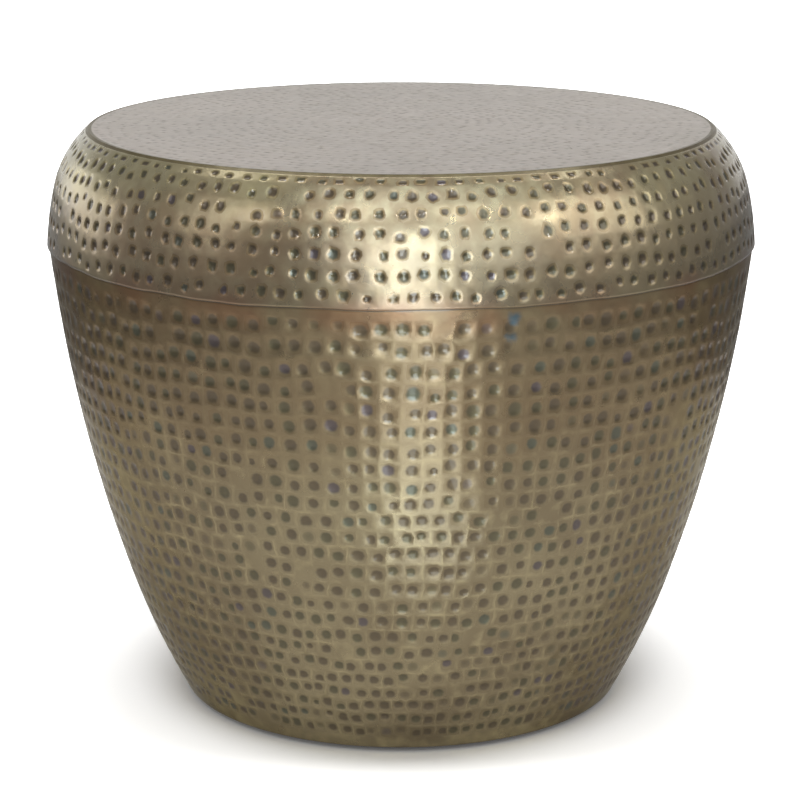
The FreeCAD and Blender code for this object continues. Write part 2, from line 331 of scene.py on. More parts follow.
@dataclass(frozen=True)
class Hammer:
    """A hammer's face and the hand that swings it.

    Each ring is a mark's size, depth and tone at one level, as shares of its mouth, its full depth and its
    darkest.
    """

    width: float                # of a mark, around the drum
    height: float               # of a mark, along the outline
    depth: float
    rise: float                 # how far the metal between marks is pushed up
    squareness: float           # 2 for an oval mark, more for a squarer one
    uneven: float               # how far sizes differ, as a share
    scatter: float              # how far blows land beside their place, as a share of a mark
    glancing: float             # share of the blows that glance off
    missed: float               # share of the cells that are left out
    corners: int = 12           # of a mark: 12, or 8 for a plainer one
    tall: float = 0.06          # how far heights differ by themselves, as a share
    lean: float = 0.16          # how far a mark is turned from upright, in radians
    ragged: float = 0.05        # how far a mark's outline strays, as a share of its size
    rings: tuple[tuple[float, float, float], ...] = ((1.0, 0.04, 0.08), (0.62, 0.64, 0.5))
    drift: float = 3.0 * MM     # how far the rows wander
    drift_size: float = 45 * MM
    stray: float = 0.8 * MM     # how far each corner of a cell strays by itself
    least_rise: float = 0.6     # the lowest border between marks, as a share of rise
    patch: float = 70 * MM      # size of the patches that were struck alike
    gathered: float = 2.2       # how strongly the glancing blows gather in patches
    fade: float = 9 * MM        # the rows run true this near to the sheet's ends
    clear: float = 0.92         # how much of its cell a mark may take up
    least_size: float = 0.75    # how far a crowded mark shrinks before it is cut off
    least_depth: float = 0.4    # how shallow a crowded mark gets

    def blow(self, place: Vector, chance: random.Random) -> Blow:
        """How the blow on one cell lands: faint ones come in patches."""
        patch = noise.noise(place / self.patch)
        draw = chance.random()
        if draw < self.missed:
            return Blow.MISSED
        if draw < self.missed + self.glancing * (1 + self.gathered * patch):
            return Blow.GLANCING
        return Blow.FULL

    def strike(self, bm: BMesh, sheet: Sheet, low: float, high: float, seed: int) -> int:
        """Hammer every cell of a sheet, which are its faces of six corners.

        Args:
            bm: The mesh, whose cells are laid out but still plain.
            sheet: The surface that the cells lie on.
            low: Where the hammered zone starts, in the sheet's measure.
            high: Where it ends.
            seed: Seed of the hand's unevenness.

        Returns:
            The number of cells.
        """
        chance = random.Random(seed)
        deep = bm.verts.layers.float[HAMMERED]
        hue = bm.verts.layers.float[MARK_HUE]
        cells = [face for face in bm.faces if len(face.verts) == 6]
        self.cut_corners(bm, cells)
        self.loosen(sheet, cells, low, high, chance)
        marks = [self.aim(sheet, cell, chance) for cell in cells]
        for size, depth, tone in self.rings:
            bmesh.ops.inset_individual(bm, faces=cells, thickness=START_INSET, depth=0.0, use_even_offset=True)
            for cell, mark in zip(cells, marks):
                mark.shape_ring(sheet, cell, size, depth)
                for vertex in cell.verts:
                    vertex[deep] = tone * mark.blow.value
                    vertex[hue] = mark.hue
        owner = {cell.verts[0]: mark for cell, mark in zip(cells, marks)}
        for middle in bmesh.ops.poke(bm, faces=cells)["verts"]:
            ring = (edge.other_vert(middle) for edge in middle.link_edges)
            mark = next(owner[vertex] for vertex in ring if vertex in owner)
            middle.co = sheet.place(mark.angle, mark.along, mark.depth)
            middle[deep] = mark.blow.value
            middle[hue] = mark.hue
        return len(marks)

    def cut_corners(self, bm: BMesh, cells: list[BMFace]) -> None:
        """Give each cell as many corners as a mark has. Its upright sides always get one more each."""
        edges = {edge for cell in cells for edge in cell.edges}
        if self.corners == 8:
            edges = {edge for edge in edges if is_upright(edge)}
        bmesh.ops.bisect_edges(bm, edges=list(edges), cuts=1)

    def loosen(self, sheet: Sheet, cells: list[BMFace], low: float, high: float,
               chance: random.Random) -> None:
        """Let the rows and the cell borders wander, and push the metal between marks up."""
        borders = {vertex: None for cell in cells for vertex in cell.verts}
        for vertex in borders:
            angle = math.atan2(vertex.co.y, vertex.co.x)
            along = sheet.along(vertex.co)
            free = blend_share(min(along - low, high - along), 0.0, self.fade)
            wander = noise.noise_vector(vertex.co / self.drift_size) * self.drift * free
            along += (wander.x + chance.uniform(-self.stray, self.stray) * free) * sheet.rate(along)
            angle += (wander.y + chance.uniform(-self.stray, self.stray) * free) / sheet.radius(along)
            vertex.co = sheet.place(angle, along, -self.rise * free * chance.uniform(self.least_rise, 1.0))

    def aim(self, sheet: Sheet, cell: BMFace, chance: random.Random) -> "HammerMark":
        """Settle where in its cell one blow lands, how it lands and how large its mark is."""
        middle = cell.calc_center_median()
        along = sheet.along(middle)
        along += chance.gauss(0, self.scatter) * self.height * sheet.rate(along)
        angle = math.atan2(middle.y, middle.x)
        angle += chance.gauss(0, self.scatter) * self.width / sheet.radius(along)
        size = 1 + chance.gauss(0, self.uneven)
        tall = size * (1 + chance.gauss(0, self.tall))
        lean = chance.gauss(0, self.lean)
        corners = [corner_spot(sheet, corner.co, angle, along) for corner in cell.verts]
        mouths = []
        for bearing in even_bearings(corners):
            across = abs(math.cos(bearing - lean)) / (self.width * size / 2)
            up = abs(math.sin(bearing - lean)) / (self.height * tall / 2)
            even = (across ** self.squareness + up ** self.squareness) ** (-1 / self.squareness)
            mouths.append((bearing, even * (1 + chance.gauss(0, self.ragged))))
        blow = self.blow(middle, chance)
        spokes, room = self.fit(mouths, corners)
        return HammerMark(angle=angle, along=along, depth=self.depth * blow.value * room, blow=blow,
                          hue=chance.random(), spokes=spokes)

    def fit(self, mouths: list[Spoke], corners: list[Vector]) -> tuple[tuple[Spoke, ...], float]:
        """Keep a mark inside its cell: it shrinks and gets shallower, and what still sticks out is cut.

        Args:
            mouths: The bearing and wanted reach of each corner of the mark's mouth.
            corners: The cell's corners, seen from the middle of the mark.

        Returns:
            The bearing and reach of each corner, and the share of its depth that a crowded mark keeps.
        """
        widest = self.rings[0][0]
        limits = [border_distance(corners, bearing) * self.clear / widest for bearing, _ in mouths]
        tightest = min(limit / reach for limit, (_, reach) in zip(limits, mouths))
        shrink = min(max(tightest, self.least_size), 1.0)
        spokes = tuple((bearing, min(reach * shrink, limit))
                       for limit, (bearing, reach) in zip(limits, mouths))
        return spokes, min(max(tightest, self.least_depth), 1.0)


@dataclass(frozen=True)
class HammerMark:
    """One mark: its middle, its depth, how it was struck, its hue and the corners of its mouth."""

    angle: float
    along: float
    depth: float
    blow: Blow
    hue: float
    spokes: tuple[Spoke, ...]

    def shape_ring(self, sheet: Sheet, cell: BMFace, size: float, depth: float) -> None:
        """Move the corners of a cell's inner face on to one ring of the mark.

        Args:
            sheet: The surface that the mark lies in.
            cell: The face whose corners are moved.
            size: The ring's size as a share of the mark's mouth.
            depth: The ring's depth as a share of the mark's.
        """
        radius = sheet.radius(self.along)
        rate = sheet.rate(self.along)
        for corner, (bearing, reach) in zip(cell.verts, self.spokes):
            angle = self.angle + size * reach * math.cos(bearing) / radius
            along = self.along + size * reach * math.sin(bearing) * rate
            corner.co = sheet.place(angle, along, self.depth * depth)


def corner_spot(sheet: Sheet, corner: Vector, angle: float, along: float) -> Vector:
    """Where a corner lies, seen from a point of the sheet: metres around and metres along the surface."""
    turn = (math.atan2(corner.y, corner.x) - angle + math.pi) % FULL_TURN - math.pi
    return Vector((turn * sheet.radius(along), (sheet.along(corner) - along) / sheet.rate(along)))


def even_bearings(corners: list[Vector]) -> list[float]:
    """Bearings for a ring's corners: halfway from those of the cell's corners to evenly spaced ones."""
    bearings = [math.atan2(corner.y, corner.x) for corner in corners]
    first = min(range(len(corners)), key=lambda index: abs(bearings[index]))
    sense = 1 if corners[first].cross(corners[(first + 1) % len(corners)]) > 0 else -1
    evened = []
    for index, bearing in enumerate(bearings):
        even = sense * (index - first) * FULL_TURN / len(corners)
        evened.append(bearing + ((even - bearing + math.pi) % FULL_TURN - math.pi) / 2)
    return evened


def border_distance(corners: list[Vector], bearing: float) -> float:
    """How far a cell reaches in one direction from the middle of its mark."""
    ahead = Vector((math.cos(bearing), math.sin(bearing)))
    for start, end in zip(corners, corners[1:] + corners[:1]):
        side = end - start
        turn = ahead.cross(side)
        if abs(turn) > 1e-9 and 0 <= start.cross(ahead) / turn <= 1 and start.cross(side) / turn > 0:
            return start.cross(side) / turn
    return 0.0


def is_upright(edge: BMEdge) -> bool:
    """Whether an edge runs along the outline and not around the drum."""
    first, last = (vertex.co for vertex in edge.verts)
    turn = abs(math.atan2(first.y, first.x) - math.atan2(last.y, last.x))
    return min(turn, FULL_TURN - turn) < 1e-4


def spin(bm: BMesh, profile: list[Vector], closed: bool, steps: int) -> None:
    """Turn an outline all the way round the axis.

    Args:
        bm: The mesh that gets the turned surface.
        profile: Corners of the outline, in the XZ plane.
        closed: Whether the last corner joins the first.
        steps: How many columns the surface gets.
    """
    corners = [bm.verts.new(corner) for corner in profile]
    edges = [bm.edges.new(pair) for pair in zip(corners, corners[1:])]
    if closed:
        edges.append(bm.edges.new((corners[-1], corners[0])))
    bmesh.ops.spin(bm, geom=corners + edges, cent=(0, 0, 0), axis=(0, 0, 1), dvec=(0, 0, 0),
                   angle=FULL_TURN, steps=steps, use_merge=True, use_duplicate=False)
    bmesh.ops.remove_doubles(bm, verts=bm.verts[:], dist=HAIR)


def lay_cells(bm: BMesh, sheet: Sheet, lines: list[float], columns: int, starts: list[int]) -> None:
    """Join the columns of each row in pairs, which makes its cells.

    Args:
        bm: A spun mesh with two columns for each cell.
        sheet: The surface that the rows lie on.
        lines: The borders of the rows, in the sheet's measure.
        columns: Number of cells in a row.
        starts: Whether each row starts at the first column or at the second, as 0 or 1.
    """
    spare = []
    for edge in bm.edges:
        if not is_upright(edge):
            continue
        middle = (edge.verts[0].co + edge.verts[1].co) / 2
        along = sheet.along(middle)
        if not lines[0] < along < lines[-1] or off_sheet(sheet, middle):
            continue
        row = sum(line < along for line in lines)
        column = round(math.atan2(middle.y, middle.x) / FULL_TURN * 2 * columns)
        if (column + starts[row - 1]) % 2:
            spare.append(edge)
    bmesh.ops.dissolve_edges(bm, edges=spare, use_verts=False, use_face_split=False)


def off_sheet(sheet: Sheet, place: Vector) -> bool:
    """Whether a place lies on another face of the metal than the one that is hammered."""
    angle = math.atan2(place.y, place.x)
    return (sheet.place(angle, sheet.along(place), 0.0) - place).length > OFF_SHEET


def row_lines(sheet: Sheet, low: float, high: float, low_pitch: float, high_pitch: float,
              steps: int = 400) -> list[float]:
    """Borders of the rows between two ends. The rows' pitch changes evenly from one end to the other.

    Args:
        sheet: The surface that the rows lie on.
        low: Where the first row starts, in the sheet's measure.
        high: Where the last row ends.
        low_pitch: Height of the first row along the surface.
        high_pitch: Height of the last row along the surface.
        steps: How finely the rows are counted up.

    Returns:
        One more border than there are rows.
    """
    stride = (high - low) / steps
    counts = [0.0]
    for step in range(steps):
        share = (step + 0.5) / steps
        pitch = low_pitch + (high_pitch - low_pitch) * share
        counts.append(counts[-1] + stride / sheet.rate(low + (high - low) * share) / pitch)
    rows = round(counts[-1])
    lines = []
    for row in range(rows + 1):
        target = counts[-1] * row / rows
        index = min(sum(count <= target for count in counts), steps) - 1
        share = (target - counts[index]) / (counts[index + 1] - counts[index])
        lines.append(low + stride * (index + share))
    return lines


# ---- Finishes ----------------------------------------------------------------------------------------
FACTOR, FIRST, SECOND, MIXED = 0, 6, 7, 2   # sockets of a Mix node that is set to colour


def patchy(tree: NodeTree, place: NodeSocket, size: float, detail: float, span: tuple[float, float],
           values: tuple[float, float] = (0.0, 1.0)) -> NodeSocket:
    """A cloudy pattern that goes from one value to another.

    Args:
        tree: The node tree that gets it.
        place: The place on the piece.
        size: Size of the clouds.
        detail: Number of finer layers in them.
        span: The noise at which the first and the second value is reached.
        values: The two values.

    Returns:
        The socket that gives the pattern.
    """
    clouds = add(tree, "TexNoise", {"Vector": place, "Scale": 1 / size, "Detail": detail})
    return add(tree, "MapRange", {"Value": clouds.outputs["Fac"], "From Min": span[0], "From Max": span[1],
                                  "To Min": values[0], "To Max": values[1]}).outputs["Result"]


def torn(tree: NodeTree, place: NodeSocket, size: float, detail: float, tear: float,
         distance: NodeSocket) -> NodeSocket:
    """A distance whose contours are ragged.

    Args:
        tree: The node tree that gets it.
        place: The place on the piece.
        size: Size of the tears.
        detail: Number of finer layers in them.
        tear: How far they change the distance.
        distance: The distance with even contours.

    Returns:
        The socket that gives the ragged one.
    """
    tears = add(tree, "TexNoise", {"Vector": place, "Scale": 1 / size, "Detail": detail})
    return add(tree, "Math", {0: tears.outputs["Fac"], 1: tear, 2: distance},
               operation="MULTIPLY_ADD").outputs[0]


@dataclass(frozen=True)
class Finish(ABC):
    """A finish with its material's name."""

    name: str

    @abstractmethod
    def surface(self, tree: NodeTree) -> NodeSocket:
        """Add the nodes of the surface, and return the socket of its shader."""

    def make(self) -> Material:
        """Build the material."""
        material = bpy.data.materials.new(self.name)
        material.use_nodes = True
        material.node_tree.nodes.clear()
        add(material.node_tree, "OutputMaterial", {"Surface": self.surface(material.node_tree)})
        return material


@dataclass(frozen=True)
class HammeredBrass(Finish):
    """Brass sheet, hammered by hand, darkened all over and rubbed back, then lacquered.

    The dark finish stays in the marks and the metal between them comes up paler, so the marks read as
    dark dots in a net of lighter metal. The lacquer gives small white glints.
    """

    ground: str                  # the rubbed-back sheet
    shade: str                   # patches that were rubbed less
    light: str                   # ridges that were rubbed most
    rough: float
    sheen: str = "#9a9484"       # the metal at a glancing angle
    pits: tuple[str, ...] = ("#40362a", "#3c3828", "#3a3d34", "#3d363a")   # brown, olive, green and violet
    hues: tuple[float, ...] = (0.0, 0.56, 0.9, 0.95)   # where each of these starts among the marks
    pit_share: float = 0.9       # how far the dark finish hides the metal in a full mark
    pit_rough: float = 0.08      # and how much duller it is
    lacquer: float = 0.35        # share of the coat that is left between the marks
    pit_lacquer: float = 0.4     # and in them
    scuffs: float = 0.28         # roughness of the coat between the marks
    glint: float = 0.14          # and in them
    patch: float = 95 * MM       # size of the darker and lighter patches
    mottle: float = 11 * MM      # size of the spots on the ridges that were rubbed most
    smear: float = 18 * MM       # size of the smears, where the metal is duller or brighter
    grain: float = 1.4 * MM      # fine dents between the marks, drawn coarser than they are so they show
    dent: float = 0.05 * MM      # depth of these
    heave: float = 7 * MM        # soft unevenness between the marks
    heave_depth: float = 0.25 * MM
    heat_level: float | None = None   # the height of the brazed seam, where the torch tinted the metal
    heat: str = "#6b4a30"
    heat_reach: float = 26 * MM
    heat_cloud: float = 48 * MM
    # browner and darker below the seam: partly the metal's own browner tone, partly painted shade of the upper
    # body
    brown_and_shade: str = "#614d33"
    brown_and_shade_reach: float = 150 * MM     # how far below the seam the brown tone and the painted shade reach
    brown_and_shade_tear: float = 80 * MM       # how far the edge of this band strays
    patina: str = "#2f5160"
    spots: tuple[tuple[float, float, float], ...] = ()   # where blue patina grew
    spot_size: float = 7 * MM

    def surface(self, tree: NodeTree) -> NodeSocket:
        """Lay the colours over each other and lacquer them."""
        place = add(tree, "TexCoord").outputs["Object"]
        deep = add(tree, "Attribute", attribute_name=HAMMERED).outputs["Fac"]
        colour = linear(self.ground)
        for share, cover in self.layers(tree, place, deep):
            colour = add(tree, "Mix", {FACTOR: share, FIRST: colour, SECOND: cover},
                         data_type="RGBA").outputs[MIXED]
        uneven = patchy(tree, place, self.smear, 3.0, (0.3, 0.7), (self.rough - 0.06, self.rough + 0.08))
        rough = add(tree, "Math", {0: deep, 1: self.pit_rough, 2: uneven}, operation="MULTIPLY_ADD")
        return add(tree, "BsdfPrincipled", {
            "Base Color": colour,
            "Metallic": 1.0,
            "Roughness": rough.outputs[0],
            "Specular Tint": linear(self.sheen),
            "Coat Weight": self.coat(tree, deep, self.lacquer, self.pit_lacquer),
            "Coat Roughness": self.coat(tree, deep, self.scuffs, self.glint),
            "Coat IOR": 1.6,
            "Normal": self.dented(tree, place),
        }).outputs["BSDF"]

    def layers(self, tree: NodeTree, place: NodeSocket, deep: NodeSocket) -> list[tuple]:
        """What lies over the ground, from the first to the last: the share of each and its colour."""
        layers = [(patchy(tree, place, self.patch, 3.0, (0.38, 0.64)), linear(self.shade)),
                  (self.rubbed(tree, place, deep), linear(self.light))]
        if self.heat_level is not None:
            far = self.from_seam(tree, place)
            layers.append((self.brown_and_shaded(tree, place, far), linear(self.brown_and_shade)))
            layers.append((self.heated(tree, place, far), linear(self.heat)))
        layers.append(self.pitted(tree, deep))
        layers += [(self.spotted(tree, place, spot), linear(self.patina)) for spot in self.spots]
        return layers

    def rubbed(self, tree: NodeTree, place: NodeSocket, deep: NodeSocket) -> NodeSocket:
        """Share of the palest metal: spots on the ridges between the marks."""
        wear = patchy(tree, place, self.mottle, 4.0, (0.42, 0.75), (0.0, 0.75))
        ridge = add(tree, "MapRange", {"Value": deep, "From Min": 0.12, "From Max": 0.0}).outputs["Result"]
        return add(tree, "Math", {0: wear, 1: ridge}, operation="MULTIPLY").outputs[0]

    def from_seam(self, tree: NodeTree, place: NodeSocket) -> NodeSocket:
        """Distance to the seam. Above it, it counts double, as the torch was held below."""
        height = add(tree, "SeparateXYZ", {"Vector": place}).outputs["Z"]
        below = add(tree, "Math", {0: self.heat_level, 1: height}, operation="SUBTRACT").outputs[0]
        above = add(tree, "Math", {0: below, 1: -2.0}, operation="MULTIPLY").outputs[0]
        return add(tree, "Math", {0: below, 1: above}, operation="MAXIMUM").outputs[0]

    def brown_and_shaded(self, tree: NodeTree, place: NodeSocket, far: NodeSocket) -> NodeSocket:
        """Share of the browner, darker band below the seam, partly the metal's own tone and partly painted
        shade, which thins out away from the seam with a ragged edge.
        """
        ragged = torn(tree, place, 70 * MM, 4.0, -self.brown_and_shade_tear, far)
        middle = self.brown_and_shade_tear / 2
        return add(tree, "MapRange", {"Value": ragged, "From Min": self.brown_and_shade_reach - middle,
                                      "From Max": 0.4 * self.brown_and_shade_reach - middle, "To Max": 0.6},
                   interpolation_type="SMOOTHSTEP").outputs["Result"]

    def heated(self, tree: NodeTree, place: NodeSocket, far: NodeSocket) -> NodeSocket:
        """Share of the red-brown tint that the torch left along the seam, in clouds."""
        near = add(tree, "MapRange", {"Value": far, "From Min": self.heat_reach, "From Max": 0.0},
                   interpolation_type="SMOOTHSTEP").outputs["Result"]
        cloud = patchy(tree, place, self.heat_cloud, 2.0, (0.40, 0.60), (0.0, 0.65))
        return add(tree, "Math", {0: near, 1: cloud}, operation="MULTIPLY").outputs[0]

    def pitted(self, tree: NodeTree, deep: NodeSocket) -> tuple[NodeSocket, NodeSocket]:
        """Share and colour of the dark finish in the marks; a few took a green or violet hue. The same share
        and colours paint the shade at the seam and the foot.
        """
        hue = add(tree, "Attribute", attribute_name=MARK_HUE).outputs["Fac"]
        pits = add(tree, "ValToRGB", {"Fac": hue}, stops=list(zip(self.hues, self.pits)))
        pits.color_ramp.interpolation = "CONSTANT"
        share = add(tree, "MapRange", {"Value": deep, "From Min": 0.3, "From Max": 0.85,
                                       "To Max": self.pit_share})
        return share.outputs["Result"], pits.outputs["Color"]

    def spotted(self, tree: NodeTree, place: NodeSocket, spot: tuple[float, float, float]) -> NodeSocket:
        """Share of a small spot of blue-green patina with a ragged edge."""
        reach = add(tree, "VectorMath", {0: place, 1: spot}, operation="DISTANCE").outputs["Value"]
        ragged = torn(tree, place, 5 * MM, 3.0, self.spot_size, reach)
        return add(tree, "MapRange", {"Value": ragged, "From Min": 1.3 * self.spot_size,
                                      "From Max": 0.8 * self.spot_size, "To Max": 0.75}).outputs["Result"]

    def coat(self, tree: NodeTree, deep: NodeSocket, between: float, inside: float) -> NodeSocket:
        """A measure of the lacquer, which has one value between the marks and another in them."""
        return add(tree, "MapRange", {"Value": deep, "From Min": 0.1, "From Max": 0.6, "To Min": between,
                                      "To Max": inside}).outputs["Result"]

    def dented(self, tree: NodeTree, place: NodeSocket) -> NodeSocket:
        """Fine dents and a soft unevenness of the sheet between the marks."""
        normal = {}
        for size, detail, depth in ((self.grain, 2.0, self.dent), (self.heave, 1.0, self.heave_depth)):
            clouds = add(tree, "TexNoise", {"Vector": place, "Scale": 1 / size, "Detail": detail})
            bump = add(tree, "Bump", {"Height": clouds.outputs["Fac"], "Distance": depth, "Strength": 0.6}
                       | normal)
            normal = {"Normal": bump.outputs["Normal"]}
        return normal["Normal"]


@dataclass(frozen=True)
class PlainFinish(Finish):
    """A metal, plastic or braze with a little cloudiness and grain."""

    colour: str
    second: str
    metallic: float
    rough: float
    cloud: float
    grain: float
    dent: float

    def surface(self, tree: NodeTree) -> NodeSocket:
        """Cloud two tones together and dent them."""
        place = add(tree, "TexCoord").outputs["Object"]
        colour = add(tree, "Mix", {FACTOR: patchy(tree, place, self.cloud, 4.0, (0.0, 1.0)),
                                   FIRST: linear(self.colour), SECOND: linear(self.second)}, data_type="RGBA")
        fine = add(tree, "TexNoise", {"Vector": place, "Scale": 1 / self.grain, "Detail": 3.0})
        bump = add(tree, "Bump", {"Height": fine.outputs["Fac"], "Distance": self.dent})
        rough = patchy(tree, place, self.cloud, 4.0, (0.0, 1.0), (self.rough - 0.08, self.rough + 0.08))
        return add(tree, "BsdfPrincipled", {
            "Base Color": colour.outputs[MIXED],
            "Metallic": self.metallic,
            "Roughness": rough,
            "Normal": bump.outputs["Normal"],
        }).outputs["BSDF"]


@dataclass(frozen=True)
class StainedPlywood(Finish):
    """Plywood with a dark stain, which sinks into the open grain and shows it as darker streaks."""

    name: str = "stained_plywood"
    stain: str = "#3a2a1e"
    streak: str = "#20160f"
    rough: float = 0.62
    ring: float = 16 * MM        # spacing of the grain's bands across the board
    length: float = 260 * MM     # how far a streak runs along the board
    pores: float = 14.0          # how many times finer the pores are than the bands
    pore_share: float = 0.35
    dent: float = 0.1 * MM

    def surface(self, tree: NodeTree) -> NodeSocket:
        """Stretch the bands and the pores along the board and let the stain sink in."""
        place = add(tree, "TexCoord").outputs["Object"]
        stretch = (1 / self.length, 1 / self.ring, 1 / self.ring)
        along = add(tree, "Mapping", {"Vector": place, "Scale": stretch}).outputs["Vector"]
        bands = add(tree, "TexNoise", {"Vector": along, "Scale": 1.0, "Detail": 5.0, "Distortion": 0.6})
        pores = add(tree, "TexNoise", {"Vector": along, "Scale": self.pores, "Detail": 2.0})
        grain = add(tree, "Math", {0: pores.outputs["Fac"], 1: self.pore_share, 2: bands.outputs["Fac"]},
                    operation="MULTIPLY_ADD").outputs[0]
        streaks = add(tree, "MapRange", {"Value": grain, "From Min": 0.45, "From Max": 0.85})
        colour = add(tree, "Mix", {FACTOR: streaks.outputs["Result"], FIRST: linear(self.stain),
                                   SECOND: linear(self.streak)}, data_type="RGBA")
        bump = add(tree, "Bump", {"Height": grain, "Distance": self.dent, "Strength": 0.5})
        return add(tree, "BsdfPrincipled", {
            "Base Color": colour.outputs[MIXED],
            "Roughness": self.rough,
            "Normal": bump.outputs["Normal"],
        }).outputs["BSDF"]


# ---- Sub-assemblies ----------------------------------------------------------------------------------
@dataclass
class Shell(ABC):
    """A raised wall of the drum: turned from its section, with rows of marks on the outside."""

    node: str                        # the solid that it follows and stands in for
    name: str
    seed: int
    hammer: Hammer
    finish: HammeredBrass
    edge_round: float                # rounding of its lower edge
    edge_steps: int
    inner_rows: int
    columns: int = 112
    gauge: float = 1.2 * MM
    bumps: float = 0.5 * MM          # how far the marks stand out on the inside
    sharp: float = 62.0              # degrees that the metal turns at an edge that shows as one
    seam: Seam = Seam(SEAM_LEVEL)

    @abstractmethod
    def lay_out(self, low: float, high: float) -> tuple[WallSheet, list[float]]:
        """The face that is hammered, and the borders of its rows."""

    @abstractmethod
    def profile(self, sheet: WallSheet, lines: list[float], low: float, high: float) -> list[Vector]:
        """Corners of the wall's section."""

    @abstractmethod
    def dress_ends(self, bm: BMesh, sheet: WallSheet, low: float) -> None:
        """Shape the metal at the seam, and mark where shade is painted."""

    def build(self) -> Object:
        """Spin the wall, hammer it and dress it."""
        low, high = (corner.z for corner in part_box(self.node))
        sheet, lines = self.lay_out(low, high)
        bm = start_shell()
        spin(bm, self.profile(sheet, lines, low, high), True, 2 * self.columns)
        self.round_edge(bm, low, sheet.radius(low))
        chance = random.Random(self.seed)
        lay_cells(bm, sheet, lines, self.columns, [chance.randrange(2) for _ in lines])
        self.dress_ends(bm, sheet, low)
        count = self.hammer.strike(bm, sheet, lines[0], lines[-1], seed=self.seed + 1)
        piece = keep_mesh(bm, self.name, [self.finish.make()], self.sharp)
        log.info("%s: %d rows, %d marks", piece.name, len(lines) - 1, count)
        return piece

    def inside(self, sheet: WallSheet, heights: list[float]) -> list[Vector]:
        """Corners on the inside, where the backs of the marks take up some room."""
        return [Vector((sheet.section.inside(height) - self.bumps * sheet.free(height), 0, height))
                for height in heights]

    def round_edge(self, bm: BMesh, low: float, radius: float) -> None:
        """Round the outer corner of the lower edge."""
        rim = [edge for edge in bm.edges
               if all(abs(v.co.z - low) < 0.1 * MM and v.co.xy.length > radius - 0.5 * MM for v in edge.verts)]
        bmesh.ops.bevel(bm, geom=rim, offset=self.edge_round, segments=self.edge_steps, profile=0.5,
                        affect="EDGES", material=-1)


@dataclass
class DrumBody(Shell):
    """The tapering wall with its lip in the seam and its turned-in foot."""

    node: str = "body_shell"
    name: str = "hammered_body"
    seed: int = 11
    hammer: Hammer = Hammer(
        width=11.2 * MM, height=11.2 * MM, depth=1.05 * MM, rise=0.08 * MM, squareness=2.15, uneven=0.12,
        scatter=0.09, glancing=0.12, missed=0.015, drift=4.0 * MM, stray=1.0 * MM, ragged=0.03,
        rings=((1.0, 0.04, 0.20), (0.62, 0.62, 0.82)))
    finish: HammeredBrass = HammeredBrass(
        name="hammered_antique_brass_body", ground="#7b6f54", shade="#6a5d45", light="#9a8d6a",
        pits=("#4a3f2f", "#46412e", "#43463a", "#463e40"), pit_share=0.85, rough=0.31, glint=0.10,
        heat_level=SEAM_LEVEL, spots=((0.071, -0.2385, 0.322), (0.070, -0.2385, 0.309)))
    edge_round: float = 1.0 * MM
    edge_steps: int = 3
    inner_rows: int = 7
    foot_row: float = 11.8 * MM      # height of the lowest row of marks
    seam_row: float = 13.8 * MM      # height of the highest row
    foot_strip: float = 9.5 * MM     # plain metal above the foot edge
    seam_strip: float = 6 * MM       # plain metal below the seam
    lip_start: float = 3 * MM        # where the lip stands upright, above the seam
    shaded_corner: float = 1.6 * MM    # height of the corner below the seam's edge where shade is painted
    foot_shade: float = 0.9           # how dark the foot's rounding is painted: painted shade where it meets the floor

    def lay_out(self, low: float, high: float) -> tuple[WallSheet, list[float]]:
        """The face from the foot up to the seam, and the borders of its rows."""
        sheet = WallSheet(self.node, low, self.seam.level)
        return sheet, row_lines(sheet, low + self.foot_strip, self.seam.level - self.seam_strip,
                                self.foot_row, self.seam_row)

    def profile(self, sheet: WallSheet, lines: list[float], low: float, high: float) -> list[Vector]:
        """Corners of the wall's section: up the outside and back down the inside."""
        level = self.seam.level
        corner = [level - 2 * self.shaded_corner, level - self.shaded_corner, level]
        outside = [Vector((sheet.radius(height), 0, height))
                   for height in [low, low + self.foot_strip / 3] + lines + corner]
        lip = [Vector((sheet.section.outside(height - HAIR), 0, height))
               for height in (level + self.lip_start, (level + high) / 2, high)]
        flange = low + self.gauge
        rise = (high - END_GAP - flange - 2 * END_GAP) / self.inner_rows
        inside = self.inside(sheet, [high - END_GAP - rise * row for row in range(self.inner_rows + 1)])
        inside[0].z = high
        inside[-1].z = flange
        mouth = sheet.section.inside(low + self.gauge / 2)
        return outside + lip + inside + [Vector((mouth, 0, flange)), Vector((mouth, 0, low))]

    def dress_ends(self, bm: BMesh, sheet: WallSheet, low: float) -> None:
        """Let the strip below the seam follow the seam's edge. Shade is painted in the corner under that edge
        and on the foot's rounding.
        """
        deep = bm.verts.layers.float[HAMMERED]
        radius = sheet.radius(self.seam.level)
        for vertex in bm.verts:
            drop = self.seam.level - vertex.co.z
            if vertex.co.z < low + 0.8 * self.edge_round:
                # painted shade: the foot's rounding is darkened next to the floor
                vertex[deep] = self.foot_shade
            elif abs(vertex.co.xy.length - radius) <= 1 * MM and -0.1 * MM < drop < 2.1 * self.shaded_corner:
                vertex.co.z += self.seam.rise(math.atan2(vertex.co.y, vertex.co.x))
                # painted shade: the corner under the shoulder's lapped edge is darkened
                vertex[deep] = blend_share(drop, 1.1 * self.shaded_corner, 0.5 * self.shaded_corner)


